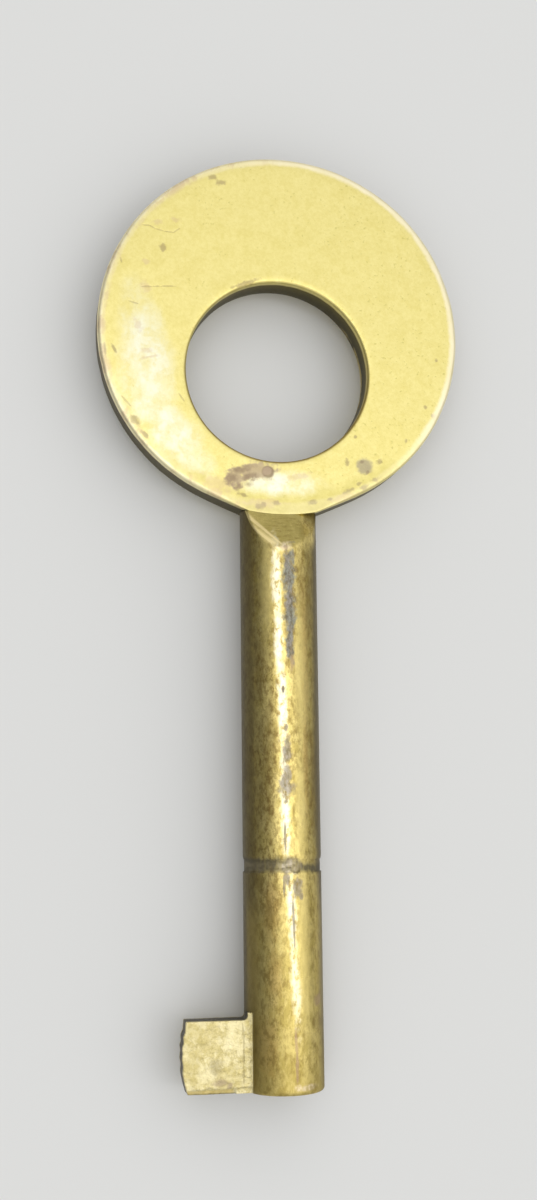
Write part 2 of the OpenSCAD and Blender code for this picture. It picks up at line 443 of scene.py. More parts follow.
solderBand = {
    "lower": (18.53, 19.03),       # heights between which the solder begins, and ends
    "upper": (20.3, 19.75),
    "middle": 19.3,
    "darkening": 0.2,              # how much darker each millimetre below the middle is
    "narrowing": 0.5,              # how much lower its top lies right of the middle
    # painted highlight: a lighter grey in the band's middle, where the light is reflected
    "lightSpot": (0.0, 19.1, 0.9, 0.75),
    "topLine": (19.45, 19.7),
    "topLineEnd": (0.4, -0.4),
    "rightOfMiddle": (0.7, 1.4),
    "sideHeight": (3.45, 2.9),
    "sideStart": (-0.2, 0.6),
    "darkTone": (0.35, 0.8),
    "thinTone": (0.62, 0.42),
    "colour": colour(116, 107, 84),
    "light": colour(198, 186, 164),
    "dark": colour(80, 75, 58),
    "share": {"plain": 0.7, "thinned": 0.18},
    "darkTop": 0.8,
}


def addSolder(graph, band, base):  # the grey solder at the joint, alike on three pieces; also its mask
    y = graph.axis("Y")
    across = graph.axis("X")
    edge = y + graph.lumps(size=0.7, stretch=(1, 0.5, 1), detail=4, shift=70).swing(0.8)
    streaks = graph.lumps(size=0.35, stretch=(1, 0.3, 1), detail=3, shift=12)
    top = edge + across.rise(*band["rightOfMiddle"]) * band["narrowing"]
    mask = top.rise(*band["upper"]) * edge.rise(*band["lower"])
    cloud = graph.lumps(size=0.5, stretch=(1, 1.6, 1), detail=3, shift=33)
    cloud = cloud + (band["middle"] - y) * band["darkening"]
    # painted highlight in the band's middle
    light = graph.spot(streaks.swing(2.2), *band["lightSpot"], soft=0.6)
    topLine = edge.rise(*band["topLine"]) * across.rise(*band["topLineEnd"])
    sides = graph.axis("Z").rise(*band["sideHeight"]) * across.rise(*band["sideStart"])
    dark = cloud.rise(*band["darkTone"]).orMore(topLine * band["darkTop"]).orMore(sides)
    share = mask * graph.total(band["share"], {"thinned": streaks.rise(*band["thinTone"])})
    grey = graph.mix(dark, graph.mix(light, band["colour"], band["light"]), band["dark"])
    return graph.mix(share, base, grey), mask


stemFinish = {
    "bright": colour(232, 212, 136),
    "olive": colour(184, 164, 90),
    "brown": colour(128, 104, 56),
    # partly tarnish, partly painted shade on the stem's flanks
    "tarnish": colour(74, 64, 38),
    "grey": colour(148, 149, 136),
    "greyShade": colour(112, 106, 88),
    "rose": colour(164, 136, 112),
    # painted highlight colour, laid along the stem's reflection
    "pale": colour(252, 246, 218),
    # painted highlight colour on the left facet's ridge
    "ridge": colour(240, 220, 160),
    "facet": colour(172, 157, 92),
    "lilac": colour(158, 146, 138),
    "blush": colour(238, 220, 190),
    "orange": colour(196, 158, 92),
    "greyPatches": [
        (0.38, 45.1, 0.58, 2.2),
        (0.42, 42.0, 0.5, 2.4),
        (0.35, 39.3, 0.36, 2.0),
        (-0.33, 34.7, 0.12, 0.3),
        (-0.1, 31.3, 0.16, 0.3),
        (-0.05, 29.4, 0.36, 1.2),
        (-0.1, 26.7, 0.42, 1.5),
        (-0.1, 26.2, 0.7, 0.6),
        (-0.2, 18.3, 0.28, 0.5),
        (0.75, 17.6, 0.45, 0.85),
        (1.1, 16.7, 0.2, 0.35),
    ],
    "rosePatches": [
        (0.1, 47.5, 0.24, 0.2, 0.4),
        (0.2, 46.0, 0.15, 1.0),
        (0.5, 37.3, 0.2, 0.9),
        (0.42, 4.6, 0.12, 1.0),
        (0.5, 2.6, 0.13, 1.7),
        (2.6, 7.8, 0.35, 0.5),
    ],
    # a pinkish curl at the ridge's foot, and a painted glint at the mouth's right
    "blushSpots": [(0.1, 47.6, 0.55, 0.42, 0.4), (0.6, 0.7, 0.3, 0.25), (1.6, 0.65, 0.7, 0.24, 0.1)],
    # painted sheen: brighter strips beside the highlight, where the stem should catch more light
    "brightStrips": [
        (-1.65, 44.0, 0.5, 4.6),
        (1.4, 36.0, 0.6, 5.5),
        (1.2, 24.0, 0.5, 4.0),
        (1.0, 22.6, 0.25, 3.0),
        (1.3, 12.0, 0.6, 6.0),
    ],
    "brownPatches": [
        (-2.4, 18.0, 0.4, 0.7),
        (-1.15, 17.6, 0.16, 1.0),
        (-1.7, 15.4, 0.3, 1.0),
        (-2.2, 37.0, 0.5, 2.5),
        (-1.9, 25.5, 0.6, 3.0),
        (-1.4, 33.0, 0.25, 1.5),
        (-1.6, 30.0, 0.7, 3.5),
        (2.5, 27.0, 0.4, 4.0),
        (2.6, 6.0, 0.5, 0.6),
        (2.2, 43.5, 0.3, 3.5),
        (1.45, 44.2, 0.35, 3.0),
    ],
    "orangePatches": [
        (1.75, 38.0, 0.3, 6.0),
        (1.7, 28.5, 0.25, 4.5),
        (-1.5, 15.5, 0.7, 2.4),
        (-1.3, 10.0, 0.6, 2.0),
        (-1.9, 4.0, 0.7, 2.5),
    ],
    "greyLines": [
        [(-0.32, 22.9), (-0.28, 20.7)],
        [(-0.42, 18.6), (-0.45, 16.9)],
        [(0.3, 16.6), (0.42, 12.6)],
    ],
    "greyLineWidth": 0.12,
    # painted highlight: whitish streaks where the light's reflection runs down the stem
    "paleLines": [
        [(-0.85, 47.4), (-0.72, 42.0), (-0.62, 36.5)],
        [(-0.45, 36.5), (-0.3, 30.0), (-0.2, 20.4)],
        [(0.1, 18.0), (0.35, 12.0), (0.6, 6.5)],
    ],
    "paleLineWidth": 0.36,
    "patches": {                        # how ragged and how soft the marks above are
        "orangePatches": (0.8, 0.6),
        "brownPatches": (1.2, 0.6),
        "brightStrips": (0.8, 0.6),
        "blushSpots": (0.7, 0.5),
        "rosePatches": (1.0, 0.35),
        "greyPatches": (1.2, 0.4),
    },
    "tones": {                          # as on the bow
        "front": ("height", 0.6, 1.2),
        "blotchTone": ("blotch", 0.42, 0.6),
        "driftTone": ("drift", 0.42, 0.62),
        "browning": ("blotch", 0.3, 0.6),
        # browner towards the left flank: brown mottling, and painted shade on the shaded side
        "onSide": ("across", -0.4, -1.4),
        "dots": ("dot", 0.53, 0.66),
        "scraped": ("scrape", 0.5, 0.66),
        "shiny": ("scrape", 0.45, 0.3),
        "rubbed": ("speckle", 0.66, 0.45),
        "speckled": ("speckle", 0.4, 0.55),
        "bare": ("speckle", 0.6, 0.45),
        "covered": ("speckle", 0.66, 0.48),
        "low": ("across", -2.4, -0.9),
        "toRight": ("across", 0.5, 2.5),
        "farRight": ("across", 1.4, 2.2),
        "lowStem": ("along", 24, 14),
        "barrel": ("along", 17.5, 14),
        "mouth": ("along", 4.5, 0.5),
        "nearMouth": ("along", 9, 2),
        "high": ("along", 31, 38),
        "lilacTone": ("blotch", 0.45, 0.6),
        "shadeTone": ("fine", 0.38, 0.66),
    },
    "facetSurface": (-0.27, -0.05),     # where the finish of a facet begins, against its own surface
    "leftSurface": (-0.2, -0.04),
    "leftEdge": (-0.01, 0.015),
    "facetEnd": (0.4, 0.0),             # and past its lower end
    "leftEnd": (0.3, -0.3),
    "rightEnd": (0.8, -1.2),
    "acrossRidge": (0.69, 0.72),        # direction across the marks of the file on the left facet
    "tarnishHeight": (3.2, 1.8),        # down the stem's sides: darker flanks, partly tarnish and partly painted shade
    "fileScale": 3.6,
    "fileTone": (0.62, 0.42),
    "brownTone": (0.42, 0.66),
    "brownOnFacet": 0.5,
    "coats": [                          # as on the bow
        ("olive", "all", {"blotchTone": 0.6, "driftTone": 0.3}),
        ("orange", "orangePatches", {"plain": 0.5}),
        ("brown", "brownness", {"plain": 0.34, "browning": 0.3, "onSide": 0.16}),
        ("brown", "brown", {"plain": 0.6}),
        ("brown", "dots", {"plain": 0.2, "onSide": 0.25}),
        # painted sheen strips
        ("bright", "brightStrips", {"plain": 0.25, "fine": 0.7}),
        ("facet", "facet", {"plain": 0.6, "fine": 0.5}),
        ("brown", "scrapes", {"plain": 0.4}),
        ("bright", "shine", {"plain": 0.3}),
        ("pale", "pale", {"plain": 0.75}),
        # painted highlight on the left facet, streaked by file marks
        ("ridge", "onLeft", {"fileMarks": 0.5, "low": 0.25, "fine": 0.4}),
        ("tarnish", "tarnish", {"plain": 0.88}),
        # more olive over the barrel, and darker towards the mouth: painted shade that dims the reflection
        # there
        ("olive", "front", {"barrel": 0.22, "mouth": 0.2}),
        ("blush", "blushSpots", {"plain": 0.2, "bare": 0.4}),
        ("rose", "rosePatches", {"plain": 0.55}),
        ("brown", "outline", {"plain": 0.4}),
    ],
    "tarnishShift": {"lowRight": 0.5, "facets": 1.6, "rightEnd": 0.9},
    "lilacShare": 0.6,
    "greyShare": {"plain": 0.14, "covered": 0.5, "high": 0.34},
    "roughness": {"plain": 0.22, "fine": 0.16, "tarnish": 0.12, "dull": 0.16, "nearMouth": 0.14},
    "metallic": {"plain": 1.0, "dull": -0.3, "tarnish": -0.1},
    "relief": {"fine": 0.7, "speckle": 0.8, "blotch": 1.0, "dull": -0.3},
    "reliefDepth": 0.017,
}


def makeStemFinish(name, slot, look, band):
    material, graph = newFinish(name, slot)
    across, along, height = [graph.axis(letter) for letter in "XYZ"]
    blotch = graph.lumps(size=0.75, stretch=(1, 0.45, 1), detail=4, rough=0.65)
    fine = graph.lumps(size=0.26, stretch=(1, 0.55, 1), detail=4, rough=0.7, shift=30)
    wobble = graph.lumps(size=0.5, stretch=(1, 0.7, 1), detail=4, shift=15).swing(1.8)
    speckle = graph.lumps(size=0.4, stretch=(1, 0.5, 1), detail=5, rough=0.7, shift=64)
    wires = {"all": 1.0, "height": height, "across": across, "along": along}
    wires.update({"fine": fine, "speckle": speckle, "blotch": blotch})
    wires["drift"] = graph.lumps(size=4.0, stretch=(1, 0.3, 1), detail=3, shift=55)
    wires["dot"] = graph.lumps(size=0.17, stretch=(1, 0.7, 1), detail=3, rough=0.75, shift=101)
    wires["scrape"] = graph.lumps(size=0.3, stretch=(0.4, 1.4, 1), detail=4, rough=0.7, shift=120)
    graph.tones(look, wires)
    front = wires["front"]

    offPlane = height.math("ABSOLUTE", height)      # distance from the key's middle plane
    drop = neckY - along
    pastFacet = drop - facetLength
    facet = (offPlane - drop * facetSlope - bowHigh.z).rise(*look["facetSurface"])
    facet = facet * pastFacet.rise(*look["facetEnd"])
    extra, more, tilt = leftFacet
    overLeft = (drop * -more - across * tilt - extra).rise(*look["leftEdge"])
    onLeft = offPlane - drop * (facetSlope + more) - across * tilt - (bowHigh.z + extra)
    onLeft = onLeft.rise(*look["leftSurface"]) * overLeft * pastFacet.rise(*look["leftEnd"])
    turnX, turnY = look["acrossRidge"]
    acrossRidge = across * turnX + along * turnY + fine.swing(0.12)
    marks = {"W": acrossRidge, "Scale": look["fileScale"], "Detail": 2.0}
    fileMarks = graph.node("TexNoise", {"noise_dimensions": "1D"}, marks)
    wires.update({"facet": facet, "onLeft": onLeft, "fileMarks": fileMarks.rise(*look["fileTone"])})

    brownness = (speckle + fine.swing(0.5)).rise(*look["brownTone"])
    wires["brownness"] = brownness * (1 - facet * look["brownOnFacet"])
    wires.update({"scrapes": facet * wires["scraped"], "shine": facet * wires["shiny"]})
    # painted highlight along the stem's reflection, broken up by speckle
    pale = graph.lines(wobble, look["paleLineWidth"], look["paleLines"], soft=0.6)
    wires["pale"] = pale * front * wires["rubbed"]
    wires.update(graph.patches(look, wobble, front))
    wires["brown"] = (wires["brownPatches"] * (fine + 0.2)).limit()
    wires["outline"] = graph.spots(wobble, look["greyPatches"], soft=0.5) * front * wires["speckled"]

    # darker flanks: partly tarnish, partly painted shade, with less of it on the right low down and on the
    # facets
    shifts = {"lowRight": wires["toRight"] * wires["lowStem"], "facets": facet.orMore(onLeft)}
    shifts["rightEnd"] = pastFacet.rise(*look["rightEnd"]) * wires["farRight"]
    side = offPlane + graph.total(look["tarnishShift"], shifts) + blotch.swing(0.9) + fine.swing(0.6)
    wires["tarnish"] = side.rise(*look["tarnishHeight"])
    base = graph.coats(look["bright"], look, wires)

    greyLines = graph.lines(wobble * 0.6, look["greyLineWidth"], look["greyLines"]) * front
    grey = wires["greyPatches"].orMore(greyLines)
    greyColour = graph.mix(wires["high"], look["lilac"], look["grey"])
    greyColour = graph.mix(wires["lilacTone"] * look["lilacShare"], greyColour, look["lilac"])
    greyColour = graph.mix(wires["shadeTone"], greyColour, look["greyShade"])
    base = graph.mix(grey * graph.total(look["greyShare"], wires).limit(), base, greyColour)
    base, solder = addSolder(graph, band, base)
    wires["dull"] = grey.orMore(solder)
    shade(graph, base, look, wires)
    return material


bitFinish = {
    # the colour of the painted glints and worn patches
    "bright": colour(238, 227, 182),
    "pale": colour(216, 202, 148),
    "olive": colour(194, 179, 118),
    "dark": colour(158, 142, 92),
    "mauve": colour(168, 150, 124),
    "grey": colour(170, 158, 124),
    # painted shade: the dark colour of the bit's side walls
    "tarnish": colour(50, 44, 28),
    "yellow": colour(232, 206, 124),
    "greyPatches": [(-6.2, 2.3, 0.5, 0.7)],
    "notches": [(-5.85, 0.95, 0.7, 0.28, 0.1), (-5.0, 0.72, 0.22, 0.3, -0.4)],
    "olivePatches": [(-8.2, 5.3, 1.3, 0.9, -0.3), (-4.7, 1.3, 0.9, 0.9), (-8.3, 2.2, 0.6, 1.2)],
    # pale patches: painted glints on the hammered face
    "palePatches": [(-5.0, 4.6, 0.5, 1.0, -0.2), (-7.0, 1.6, 0.7, 0.5)],
    "patches": {                   # how ragged and how soft the marks above are
        "greyPatches": (1.0, 0.5),
        "notches": (0.8, 0.5),
        "olivePatches": (1.0, 0.6),
        "palePatches": (1.0, 0.6),
    },
    "grooves": [[(-3.85, 5.9), (-3.72, 4.0), (-3.8, 2.2), (-3.75, 0.9)]],
    "grooveWidth": 0.07,
    "tones": {                     # as on the bow
        "front": ("height", 0.5, 1.0),
        "cloudTone": ("cloud", 0.42, 0.6),
        "beatenTone": ("beaten", 0.35, 0.75),
        "pitted": ("pits", 0.5, 0.7),
        "wornTone": ("wearing", 0.48, 0.7),
        "onBlade": ("across", -4.5, -4.8),
    },
    "wallHeight": (1.02, 0.82),
    "lowEdge": (0.5, 0.3),         # height on the blade of the yellow strip's upper side
    "coats": [                     # as on the bow
        ("olive", "all", {"cloudTone": 0.55, "beatenTone": 0.3}),
        ("dark", "pitted", {"plain": 0.5}),
        ("bright", "worn", {"plain": 0.65}),
        ("olive", "olivePatches", {"plain": 0.45}),
        ("bright", "palePatches", {"plain": 0.6}),
        ("grey", "greyPatches", {"plain": 0.35}),
        ("mauve", "notches", {"plain": 0.7}),
        ("yellow", "lowEdge", {"plain": 0.6}),
        ("dark", "groove", {"plain": 0.35}),
        ("tarnish", "wall", {"plain": 0.95}),
    ],
    "roughness": {"plain": 0.34, "pits": 0.18, "greyPatches": 0.1},
    "metallic": {"plain": 1.0, "greyPatches": -0.2, "wall": -0.2},
    "relief": {"cloud": 1.0, "pits": 0.6, "groove": -0.4, "beaten": 0.7},
    "reliefDepth": 0.05,
}


def makeBitFinish(look):
    material, graph = newFinish("bitBrass", "bit_brass")
    across, along, height = [graph.axis(letter) for letter in "XYZ"]
    cloud = graph.lumps(size=0.6, detail=5, rough=0.7)
    pits = graph.lumps(size=0.3, detail=3, rough=0.65, shift=60)
    wobble = graph.lumps(size=0.5, detail=4, shift=15).swing(1.8)
    cells = {"Vector": graph.place(), "Scale": 0.95, "Detail": 1.0, "Randomness": 0.9}
    beaten = graph.node("TexVoronoi", {}, cells, output="Color")
    wires = {"all": 1.0, "height": height, "across": across}
    wires.update({"cloud": cloud, "pits": pits, "beaten": beaten})
    wearing = graph.lumps(size=0.7, stretch=(1, 0.7, 1), detail=5, rough=0.75, shift=81)
    wires["wearing"] = wearing + beaten.swing(0.3)
    graph.tones(look, wires)
    front = wires["front"]

    # brighter patches: worn brass, and painted glints on the hammered face
    wires["worn"] = wires["wornTone"] * front
    wires.update(graph.patches(look, wobble, front))
    lowEdge = (along + cloud.swing(0.3)).rise(*look["lowEdge"])
    wires["lowEdge"] = lowEdge * wires["onBlade"] * front
    wires["groove"] = graph.lines(wobble * 0.8, look["grooveWidth"], look["grooves"], soft=0.5) * front
    offPlane = height.math("ABSOLUTE", height)
    # the bit's side walls, painted dark as shade
    wires["wall"] = (offPlane + cloud.swing(0.2)).rise(*look["wallHeight"])
    shade(graph, graph.coats(look["pale"], look, wires), look, wires)
    return material


# Mesh making

def skin(rows, looped=False):  # quads between rows that close; a looped list of rows closes too
    count = len(rows[0])
    faces = []
    for i in range(len(rows) - (0 if looped else 1)):
        for j in range(count):
            after = (i + 1) % len(rows)
            beside = (j + 1) % count
            faces.append((i * count + j, i * count + beside, after * count + beside, after * count + j))
    return [point for row in rows for point in row], faces


def newPiece(name, points, faces):
    mesh = bpy.data.meshes.new(name)
    mesh.from_pydata(points, [], faces)
    piece = bpy.data.objects.new(name, mesh)
    bpy.context.scene.collection.objects.link(piece)
    return piece


def edit(piece, change):  # runs change on the piece's mesh
    work = bmesh.new()
    work.from_mesh(piece.data)
    change(work)
    work.to_mesh(piece.data)
    work.free()


def applyModifiers(piece):
    shaped = piece.evaluated_get(bpy.context.evaluated_depsgraph_get())
    mesh = bpy.data.meshes.new_from_object(shaped)
    piece.modifiers.clear()
    piece.data = mesh


def finishPiece(piece, node, material, sharpAngle=40):  # outward faces, shading, metres, finish and body
    def tidy(work):
        bmesh.ops.recalc_face_normals(work, faces=work.faces)
        for face in work.faces:
            face.smooth = True
        for edge in work.edges:
            edge.smooth = edge.calc_face_angle(0) < math.radians(sharpAngle)
    edit(piece, tidy)
    piece.data.transform(Matrix.Scale(toMetres, 4))
    piece.data.name = piece.name
    piece.data.materials.clear()
    piece.data.materials.append(material)
    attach(piece, "root")
    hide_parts(node)
    print(piece.name, "made with", len(piece.data.polygons), "faces")


def wave(x, y, z, size):  # smooth noise from -1 to 1, with lumps about size millimetres wide
    return noise.noise(Vector((x, y, z)) / size)


def softLeast(first, second, blend):  # the lesser of the two, rounded where they cross
    near = max(0.0, 1 - abs(first - second) / blend)
    return min(first, second) - near * near * blend / 4


def arcPoints(centre, radius, start, end, steps):  # angles in degrees, both ends included
    angles = [math.radians(start + (end - start) * i / steps) for i in range(steps + 1)]
    return [(centre[0] + radius * math.cos(a), centre[1] + radius * math.sin(a)) for a in angles]


# Bow

bowShape = {
    "edgeRadius": 0.4,       # wear on the rim
    "edgeSteps": 5,
    "unevenness": 0.2,       # by what share that wear varies
    "unevenSize": 3.0,
    "holeEdgeRadius": 0.3,
    "holeEdgeSteps": 4,
    "holeRow": 0.6,          # height of a row of points on the hole's wall
    "neckEdgeRadius": 0.06,  # where the neck meets the stem
    "neckWidth": 6.2,
    "neckRows": [2.45, 2.9],  # on each side, between the tenon and the neck's corners
    "flareEnd": 24,          # degrees from the neck's middle, where the rim starts to swing out to the neck
    "tenonWidth": 4.0,
    "tenonThickness": 2.0,
    "tenonSteps": 4,
    "rimSag": 0.05,          # how far the face falls towards its rim
    "rimSagWidth": 1.6,
    "limbSag": 0.12,         # and how much further it falls at the limb on the side of the bit
    "limbSagWidth": 6.5,
    "faceWave": 0.014,
    "faceWaveSize": 4.5,
    "neckFlat": 2.0,         # the face stays flat at the neck, and falls in full this far from it
    "nick": 0.05,
    "nickFrom": 0.35,
    "nickSize": 1.2,
    "nickSeed": 9,
    "rimSteps": 330,
    "faceSteps": 22,
}


def makeBow(shape, material):
    halfThick = bowHigh.z
    halfTenon = shape["tenonWidth"] / 2
    tenonHalfThick = shape["tenonThickness"] / 2
    cornerAngle = math.degrees(math.asin(shape["neckWidth"] / 2 / neckRadius))
    closeBy = 0.02           # a face this near the joint lies on it

    outline = []
    for i in range(shape["rimSteps"] + 1):
        turn = cornerAngle + (360 - 2 * cornerAngle) * i / shape["rimSteps"]
        fromNeck = min(turn, 360 - turn)
        flare = max(0.0, (shape["flareEnd"] - fromNeck) / (shape["flareEnd"] - cornerAngle))
        reach = bowRadius + neckOut * flare ** 2
        x = bowX + reach * math.sin(math.radians(turn))
        outline.append((x, bowY - reach * math.cos(math.radians(turn)), 1 - flare))
    count = shape["tenonSteps"]
    tenonRows = [halfTenon * i / count for i in range(-count, count + 1)]
    for out in [-row for row in reversed(shape["neckRows"])] + tenonRows + shape["neckRows"]:
        outline.append((bowX + out, neckY + seamRise(bowX + out), 0.0))

    def section(x, y, roundness):  # one slice from the hole's wall to the rim
        angle = math.atan2(y - holeAt.y, x - holeAt.x)
        outward = Vector((math.cos(angle), math.sin(angle)))
        start = holeAt + outward * holeRadius
        chipped = wave(x, y, shape["nickSeed"], shape["nickSize"]) - shape["nickFrom"]
        nick = shape["nick"] * max(0.0, chipped) * roundness
        span = Vector((x, y)) - start - outward * nick
        length = span.length
        inner = shape["holeEdgeRadius"]
        uneven = wave(x, y, 0, shape["unevenSize"]) + math.sin(angle)
        full = shape["edgeRadius"] * (1 + shape["unevenness"] * uneven)
        wear = shape["neckEdgeRadius"] + (full - shape["neckEdgeRadius"]) * roundness
        last = length - wear
        steps = shape["faceSteps"]
        upper = arcPoints((inner, halfThick - inner), inner, 180, 90, shape["holeEdgeSteps"])
        upper += [(inner + (last - inner) * i / steps, halfThick) for i in range(1, steps)]
        upper += arcPoints((last, halfThick - wear), wear, 90, 0, shape["edgeSteps"])
        lower = [(out, -height) for out, height in reversed(upper)]
        wall = [(length, height) for height in (tenonHalfThick, 0.0, -tenonHalfThick)]
        innerWall = [(0.0, height) for height in (-shape["holeRow"], 0.0, shape["holeRow"])]
        points = []
        for out, height in upper + wall + lower + innerWall:
            flat = start + span * (out / length)
            fromRim = max(0.0, bowRadius - math.hypot(flat.x - bowX, flat.y - bowY))
            fromNeck = flat.y - neckY - seamRise(flat.x) * (1 - roundness)
            sag = shape["rimSag"] * max(0.0, 1 - fromRim / shape["rimSagWidth"]) ** 2
            left = max(0.0, -flat.x / bowRadius) ** 2
            sag += shape["limbSag"] * left * max(0.0, 1 - fromRim / shape["limbSagWidth"]) ** 2
            sag += shape["faceWave"] * (0.5 - wave(flat.x, flat.y, height, shape["faceWaveSize"]))
            sag *= max(0.0, min(1.0, fromNeck / shape["neckFlat"])) * (abs(height) / halfThick) ** 4
            points.append((flat.x, flat.y, height - math.copysign(sag, height)))
        return points

    rows = [section(*point) for point in outline]
    piece = newPiece("bowSkin", *skin(rows, looped=True))

    def addTenon(work):
        def onTenon(face):
            middle = face.calc_center_median()
            inside = abs(middle.x - bowX) < halfTenon and abs(middle.z) < tenonHalfThick
            return inside and abs(middle.y - neckY - seamRise(middle.x)) < closeBy
        faces = [face for face in work.faces if onTenon(face)]
        grown = bmesh.ops.extrude_face_region(work, geom=faces)["geom"]
        for part in grown:
            if isinstance(part, bmesh.types.BMVert):
                part.co.y = bowLow.y
        bmesh.ops.delete(work, geom=faces, context="FACES")
    edit(piece, addTenon)
    finishPiece(piece, "bow", material)


# Stem

stemShape = {
    "rightFacet": (0.49, 0.0, -0.35),
    "ridgeBlend": 0.16,      # wear on the facets' edges
    "facetRunIn": 1.0,       # the facets' cuts are looked for this far past their lower ends
    "facetSteps": 44,
    "plainSteps": 110,
    "spigotRadius": 2.2,
    "mortiseWidth": 4.06,
    "mortiseThickness": 2.06,
    "mortiseDepth": 5.7,
    "endWear": 0.06,
    "endWearLength": 0.1,
    "hollowFrom": 1.5,       # how far below the joint the rows start to bend to its arc
    "dent": 0.008,
    "around": 144,
}

dents = {
    "size": 1.6,
    "stretch": 0.4,          # they are longer along the stem
    "fineSize": 0.7,
    "fineShare": 0.5,
    "grazing": 0.01,         # a ray flatter than this to a facet never meets it
}


def ring(y, radius, count, cuts=(), blend=0.1, dent=0.0, bend=0.0):  # points round the stem
    points = []
    for i in range(count):
        angle = 2 * math.pi * i / count
        x, z = math.cos(angle), math.sin(angle)
        bumps = wave(x * radius, y * dents["stretch"], z * radius, dents["size"])
        bumps += dents["fineShare"] * wave(x * radius, y, z * radius, dents["fineSize"])
        reach = radius + dent * (bumps - 1)
        for height, tilt in cuts:  # filed flat, at a height that changes across by tilt
            if abs(z) - tilt * x > dents["grazing"]:
                reach = softLeast(reach, height / (abs(z) - tilt * x), blend)
        points.append((x * reach, y + bend * seamRise(x * reach), z * reach))
    return points


tiny = 1e-9


def slotRing(y, width, thickness, count, bend=0.0):  # the mortise's outline, met by rays from its middle
    points = []
    for i in range(count):
        angle = 2 * math.pi * i / count
        x, z = math.cos(angle), math.sin(angle)
        scale = min(width / 2 / max(abs(x), tiny), thickness / 2 / max(abs(z), tiny))
        points.append(Vector((x * scale, y, z * scale)))
    for sideX in (-1, 1):
        for sideZ in (-1, 1):
            corner = Vector((sideX * width / 2, y, sideZ * thickness / 2))
            nearest = min(range(count), key=lambda i: (points[i] - corner).length)
            points[nearest] = corner
    return [(x + bowX, y + bend * seamRise(x + bowX), z) for x, y, z in points]


def makeStem(shape, material):
    spigotEnd = boxOf("stem")[0].y
    shoulderY = boxOf("solder_ring")[1].y
    count = shape["around"]
    mortise = (shape["mortiseWidth"], shape["mortiseThickness"], count)
    rows = [slotRing(neckY - shape["mortiseDepth"], *mortise), slotRing(neckY, *mortise, bend=1.0)]
    facetRun = facetLength + shape["facetRunIn"]
    facetStart = neckY - facetRun
    facetSteps, plainSteps = shape["facetSteps"], shape["plainSteps"]
    heights = [neckY - facetRun * i / facetSteps for i in range(facetSteps)]
    heights += [facetStart - (facetStart - shoulderY) * i / plainSteps for i in range(plainSteps + 1)]
    for y in heights:
        wear = shape["endWear"] * max(0.0, 1 - (y - shoulderY) / shape["endWearLength"]) ** 2
        drop = neckY - y
        cuts = []
        if drop < facetRun:
            for extra, more, tilt in [(0.0, 0.0, 0.0), leftFacet, shape["rightFacet"]]:
                cuts.append((bowHigh.z + extra + (facetSlope + more) * drop, tilt))
        bend = max(0.0, 1 - drop / shape["hollowFrom"]) ** 2
        rows.append(ring(y, stemRadius - wear, count, cuts, shape["ridgeBlend"], shape["dent"], bend))
    rows += [ring(y, shape["spigotRadius"], count) for y in (shoulderY, spigotEnd)]
    points, faces = skin(rows)
    last = len(points) - count
    faces += [tuple(range(count)), tuple(range(last, last + count))]
    finishPiece(newPiece("stemSkin", points, faces), "stem", material)


# Solder ring

ringShape = {
    "innerRadius": 2.23,
    "sink": 0.04,
    "lumpiness": 0.03,
    "around": 144,
    "steps": 10,
}


def makeSolderRing(shape, material):
    low, high = boxOf("solder_ring")
    radius = high.z - shape["sink"]
    rows = [ring(low.y, shape["innerRadius"], shape["around"])]
    for i in range(shape["steps"] + 1):
        y = low.y + (high.y - low.y) * i / shape["steps"]
        rows.append(ring(y, radius, shape["around"], dent=shape["lumpiness"]))
    rows.append(ring(high.y, shape["innerRadius"], shape["around"]))
    finishPiece(newPiece("solderSkin", *skin(rows, looped=True)), "solder_ring", material)


# Barrel

barrelShape = {
    "mouthRadius": 0.35,
    "mouthSteps": 6,
    "boreWear": 0.12,
    "socketRadius": 2.23,
    "flat": 2.98,            # from the axis to the flat beside the bit
    "flatBlend": 0.05,
    "flatStep": 0.02,        # the barrel is round again this far past the flat
    "cutterOver": 1.0,
    "dent": 0.008,
    "around": 144,
    "steps": 76,
}


def makeBarrel(shape, material):
    high = boxOf("barrel")[1]
    footLow, footHigh = boxOf("bit")
    bore = mounts["barrel_bore"]["dims"]
    count = shape["around"]
    wear = shape["mouthRadius"]
    mouth = arcPoints((high.z - wear, wear), wear, -90, 0, shape["mouthSteps"])
    rows = [ring(y, out, count) for out, y in mouth]
    step = (high.y - wear) / shape["steps"]
    heights = [wear + step * i for i in range(1, shape["steps"] + 1)]
    heights = sorted(heights + [footHigh.y, footHigh.y + shape["flatStep"]])
    rows += [ring(y, high.z, count, dent=shape["dent"]) for y in heights]

    def flatten(point):  # the flat filed at the bit
        x, y, z = point
        if x < 0 and y <= footHigh.y:
            x = -softLeast(-x, shape["flat"], shape["flatBlend"])
        return x, y, z
    rows = [[flatten(point) for point in row] for row in rows]
    rows += [ring(y, shape["socketRadius"], count) for y in (high.y, bore["length_mm"])]
    rows += [ring(y, bore["r_mm"], count) for y in (bore["length_mm"], shape["boreWear"])]
    rows += [ring(0, bore["r_mm"] + shape["boreWear"], count)]
    piece = newPiece("barrelSkin", *skin(rows, looped=True))

    over = shape["cutterOver"]
    cutter = newPiece("slotCutter", *boxShape((-high.z - over, -over, footLow.z), footHigh))
    cut = piece.modifiers.new("slot", "BOOLEAN")
    cut.operation = "DIFFERENCE"
    cut.solver = "EXACT"
    cut.object = cutter
    applyModifiers(piece)
    bpy.data.objects.remove(cutter)
    finishPiece(piece, "barrel", material)


def boxShape(low, high):  # a plain box, as points and faces
    points = [(x, y, z) for x in (low[0], high[0]) for y in (low[1], high[1]) for z in (low[2], high[2])]
    return points, [(0, 1, 3, 2), (4, 6, 7, 5), (0, 4, 5, 1), (2, 3, 7, 6), (0, 2, 6, 4), (1, 5, 7, 3)]


# Bit

